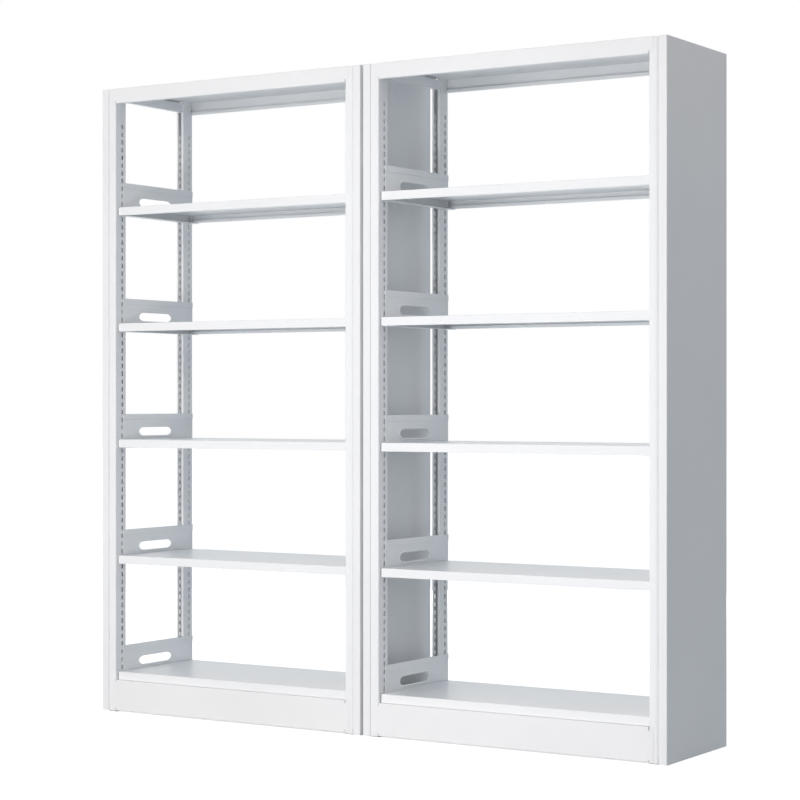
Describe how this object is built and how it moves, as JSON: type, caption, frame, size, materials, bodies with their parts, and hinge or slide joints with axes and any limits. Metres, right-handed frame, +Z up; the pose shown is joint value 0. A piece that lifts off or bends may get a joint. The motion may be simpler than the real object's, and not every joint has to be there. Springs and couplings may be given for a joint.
{
  "type": "steel bookcase",
  "caption": "Free-standing open-backed steel bookcase in two joined bays, with lift-off shelf trays on slotted hook-in brackets, closed right ends, a fascia and kick plates.",
  "frame": {"origin": "on the floor under the middle of the two bays", "axes": "+Z up, -Y towards the front where the books are put in, +X to the right seen from the front"},
  "size_m": [2.01, 0.405, 2.012],
  "materials": {
    "frame_paint": "satin powder coat",
    "cover_paint": "satin powder coat",
    "shelf_paint": "satin powder coat",
    "bracket_paint": "satin powder coat",
    "spacer_paint": "satin",
    "foot_plastic": "matte"
  },
  "bodies": {
    "frame": {"left_bay_left_front_upright": "frame_paint", "left_bay_right_front_upright": "frame_paint", "left_bay_left_rear_upright": "frame_paint", "left_bay_right_rear_upright": "frame_paint", "left_bay_left_top_rail": "frame_paint", "left_bay_right_top_rail": "frame_paint", "left_bay_left_bottom_rail": "frame_paint", "left_bay_right_bottom_rail": "frame_paint", "left_bay_top_panel": "cover_paint", "left_bay_front_kick_plate": "cover_paint", "left_bay_rear_kick_plate": "cover_paint", "left_bay_side_panel": "cover_paint", "left_bay_edge_trim": "cover_paint", "left_bay_left_bracket_1": "bracket_paint", "left_bay_right_bracket_1": "bracket_paint", "left_bay_left_bracket_2": "bracket_paint", "left_bay_right_bracket_2": "bracket_paint", "left_bay_left_bracket_3": "bracket_paint", "left_bay_right_bracket_3": "bracket_paint", "left_bay_left_bracket_4": "bracket_paint", "left_bay_right_bracket_4": "bracket_paint", "left_bay_left_bracket_5": "bracket_paint", "left_bay_right_bracket_5": "bracket_paint", "right_bay_left_front_upright": "frame_paint", "right_bay_right_front_upright": "frame_paint", "right_bay_left_rear_upright": "frame_paint", "right_bay_right_rear_upright": "frame_paint", "right_bay_left_top_rail": "frame_paint", "right_bay_right_top_rail": "frame_paint", "right_bay_left_bottom_rail": "frame_paint", "right_bay_right_bottom_rail": "frame_paint", "right_bay_top_panel": "cover_paint", "right_bay_front_kick_plate": "cover_paint", "right_bay_rear_kick_plate": "cover_paint", "right_bay_side_panel": "cover_paint", "right_bay_edge_trim": "cover_paint", "right_bay_left_bracket_1": "bracket_paint", "right_bay_right_bracket_1": "bracket_paint", "right_bay_left_bracket_2": "bracket_paint", "right_bay_right_bracket_2": "bracket_paint", "right_bay_left_bracket_3": "bracket_paint", "right_bay_right_bracket_3": "bracket_paint", "right_bay_left_bracket_4": "bracket_paint", "right_bay_right_bracket_4": "bracket_paint", "right_bay_left_bracket_5": "bracket_paint", "right_bay_right_bracket_5": "bracket_paint", "foot_plugs": "foot_plastic", "bay_spacers": "spacer_paint"},
    "left_bay_shelf_1": {"left_bay_shelf_1": "shelf_paint"},
    "left_bay_shelf_2": {"left_bay_shelf_2": "shelf_paint"},
    "left_bay_shelf_3": {"left_bay_shelf_3": "shelf_paint"},
    "left_bay_shelf_4": {"left_bay_shelf_4": "shelf_paint"},
    "left_bay_shelf_5": {"left_bay_shelf_5": "shelf_paint"},
    "right_bay_shelf_1": {"right_bay_shelf_1": "shelf_paint"},
    "right_bay_shelf_2": {"right_bay_shelf_2": "shelf_paint"},
    "right_bay_shelf_3": {"right_bay_shelf_3": "shelf_paint"},
    "right_bay_shelf_4": {"right_bay_shelf_4": "shelf_paint"},
    "right_bay_shelf_5": {"right_bay_shelf_5": "shelf_paint"}
  },
  "joints": [
    {"name": "left_bay_shelf_1_lift", "type": "slide", "parent": "frame", "child": "left_bay_shelf_1", "axis": [0, 0, 1], "range_m": [0, 0.25]},
    {"name": "left_bay_shelf_2_lift", "type": "slide", "parent": "frame", "child": "left_bay_shelf_2", "axis": [0, 0, 1], "range_m": [0, 0.25]},
    {"name": "left_bay_shelf_3_lift", "type": "slide", "parent": "frame", "child": "left_bay_shelf_3", "axis": [0, 0, 1], "range_m": [0, 0.25]},
    {"name": "left_bay_shelf_4_lift", "type": "slide", "parent": "frame", "child": "left_bay_shelf_4", "axis": [0, 0, 1], "range_m": [0, 0.25]},
    {"name": "left_bay_shelf_5_lift", "type": "slide", "parent": "frame", "child": "left_bay_shelf_5", "axis": [0, 0, 1], "range_m": [0, 0.25]},
    {"name": "right_bay_shelf_1_lift", "type": "slide", "parent": "frame", "child": "right_bay_shelf_1", "axis": [0, 0, 1], "range_m": [0, 0.25]},
    {"name": "right_bay_shelf_2_lift", "type": "slide", "parent": "frame", "child": "right_bay_shelf_2", "axis": [0, 0, 1], "range_m": [0, 0.25]},
    {"name": "right_bay_shelf_3_lift", "type": "slide", "parent": "frame", "child": "right_bay_shelf_3", "axis": [0, 0, 1], "range_m": [0, 0.25]},
    {"name": "right_bay_shelf_4_lift", "type": "slide", "parent": "frame", "child": "right_bay_shelf_4", "axis": [0, 0, 1], "range_m": [0, 0.25]},
    {"name": "right_bay_shelf_5_lift", "type": "slide", "parent": "frame", "child": "right_bay_shelf_5", "axis": [0, 0, 1], "range_m": [0, 0.25]}
  ]
}
